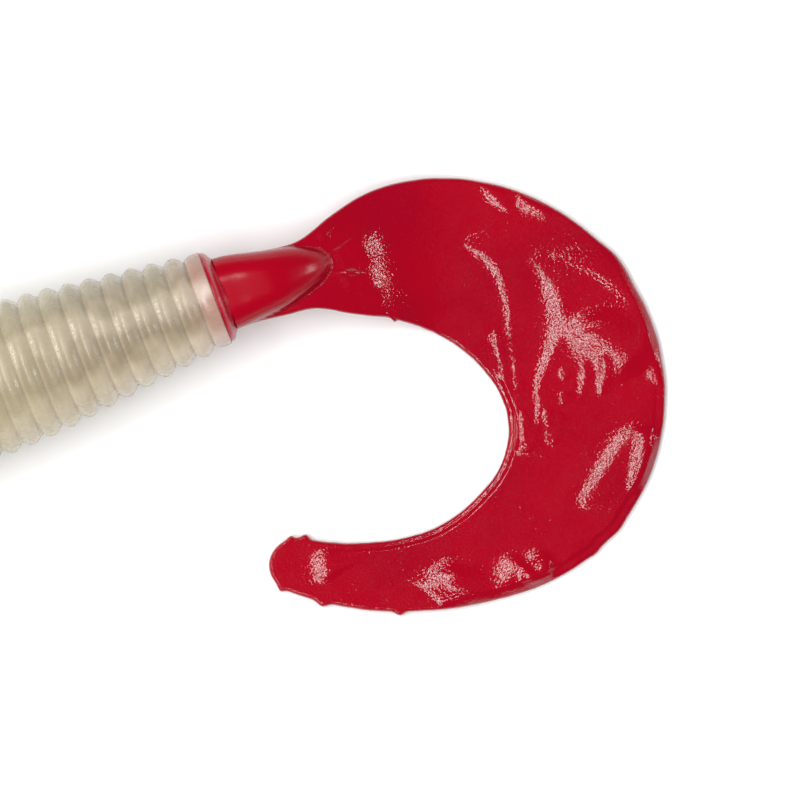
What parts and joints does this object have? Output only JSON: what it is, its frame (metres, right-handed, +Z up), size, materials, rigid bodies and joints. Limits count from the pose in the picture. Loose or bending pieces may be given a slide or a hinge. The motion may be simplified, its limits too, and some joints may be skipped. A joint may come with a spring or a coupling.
{
  "type": "soft plastic fishing grub",
  "caption": "Ribbed soft plastic grub with a tapered two-tone body and a flat curly swimming tail that flexes along its length.",
  "frame": {"origin": "centre of the flat nose face, on the body's axis", "axes": "+X from the nose along the body's axis towards the tail; +Z up as the grub lies on its side, square to the tail's flat blade; the tail curls round towards -Y"},
  "size_m": [0.1111, 0.0462, 0.0152],
  "materials": {
    "pearl_body": "satin translucent pearl white soft plastic",
    "red_tail": "glossy red soft plastic with a fine grain"
  },
  "bodies": {
    "nose_section": {"nose_section": "pearl_body"},
    "throat_section": {"throat_section": "pearl_body"},
    "front_section": {"front_section": "pearl_body"},
    "middle_section": {"middle_section": "pearl_body"},
    "back_section": {"back_section": "pearl_body"},
    "waist_section": {"waist_section": "pearl_body"},
    "rear_section": {"rear_section": "pearl_body", "tail_plug": "red_tail"},
    "tail_stem": {"tail_stem": "red_tail"},
    "blade_root": {"blade_root": "red_tail"},
    "blade_shoulder": {"blade_shoulder": "red_tail"},
    "blade_crown": {"blade_crown": "red_tail"},
    "blade_bend": {"blade_bend": "red_tail"},
    "blade_heel": {"blade_heel": "red_tail"},
    "blade_return": {"blade_return": "red_tail"},
    "blade_tip": {"blade_tip": "red_tail"}
  },
  "joints": [
    {"name": "body_flex_1", "type": "hinge", "parent": "nose_section", "child": "throat_section", "pos_m": [0.01142, 0, 0], "axis": [0, 0, 1], "range_deg": [-15, 15], "stiffness_Nm_per_rad": 0.02},
    {"name": "body_flex_2", "type": "hinge", "parent": "throat_section", "child": "front_section", "pos_m": [0.02212, 0, 0], "axis": [0, -1, 0], "range_deg": [-15, 15], "stiffness_Nm_per_rad": 0.02},
    {"name": "body_flex_3", "type": "hinge", "parent": "front_section", "child": "middle_section", "pos_m": [0.03068, 0, 0], "axis": [0, 0, 1], "range_deg": [-15, 15], "stiffness_Nm_per_rad": 0.02},
    {"name": "body_flex_4", "type": "hinge", "parent": "middle_section", "child": "back_section", "pos_m": [0.04138, 0, 0], "axis": [0, -1, 0], "range_deg": [-15, 15], "stiffness_Nm_per_rad": 0.02},
    {"name": "body_flex_5", "type": "hinge", "parent": "back_section", "child": "waist_section", "pos_m": [0.04994, 0, 0], "axis": [0, 0, 1], "range_deg": [-15, 15], "stiffness_Nm_per_rad": 0.015},
    {"name": "body_flex_6", "type": "hinge", "parent": "waist_section", "child": "rear_section", "pos_m": [0.06064, 0, 0], "axis": [0, -1, 0], "range_deg": [-15, 15], "stiffness_Nm_per_rad": 0.015},
    {"name": "tail_root_flex", "type": "hinge", "parent": "rear_section", "child": "tail_stem", "pos_m": [0.07195, -0.00045, 0], "axis": [0, -1, 0], "range_deg": [-25, 25], "stiffness_Nm_per_rad": 0.003},
    {"name": "blade_flex_1", "type": "hinge", "parent": "tail_stem", "child": "blade_root", "pos_m": [0.0849, -0.00152, -0.00302], "axis": [-0.0976, -0.9952, 0], "range_deg": [-25, 25], "stiffness_Nm_per_rad": 0.0006},
    {"name": "blade_flex_2", "type": "hinge", "parent": "blade_root", "child": "blade_shoulder", "pos_m": [0.09481, -0.00456, -0.00691], "axis": [-0.5532, -0.833, 0], "range_deg": [-25, 25], "stiffness_Nm_per_rad": 0.0003},
    {"name": "blade_flex_3", "type": "hinge", "parent": "blade_shoulder", "child": "blade_crown", "pos_m": [0.10137, -0.01257, -0.007], "axis": [-0.9256, -0.3785, 0], "range_deg": [-25, 25], "stiffness_Nm_per_rad": 0.0003},
    {"name": "blade_flex_4", "type": "hinge", "parent": "blade_crown", "child": "blade_bend", "pos_m": [0.10197, -0.02284, -0.007], "axis": [-0.9568, 0.2908, 0], "range_deg": [-25, 25], "stiffness_Nm_per_rad": 0.0003},
    {"name": "blade_flex_5", "type": "hinge", "parent": "blade_bend", "child": "blade_heel", "pos_m": [0.09573, -0.031, -0.007], "axis": [-0.5306, 0.8476, 0], "range_deg": [-25, 25], "stiffness_Nm_per_rad": 0.0003},
    {"name": "blade_flex_6", "type": "hinge", "parent": "blade_heel", "child": "blade_return", "pos_m": [0.08568, -0.03363, -0.007], "axis": [-0.0187, 0.9998, 0], "range_deg": [-25, 25], "stiffness_Nm_per_rad": 0.0002},
    {"name": "blade_flex_7", "type": "hinge", "parent": "blade_return", "child": "blade_tip", "pos_m": [0.07545, -0.03164, -0.007], "axis": [0.3768, 0.9263, 0], "range_deg": [-25, 25], "stiffness_Nm_per_rad": 0.0001}
  ]
}
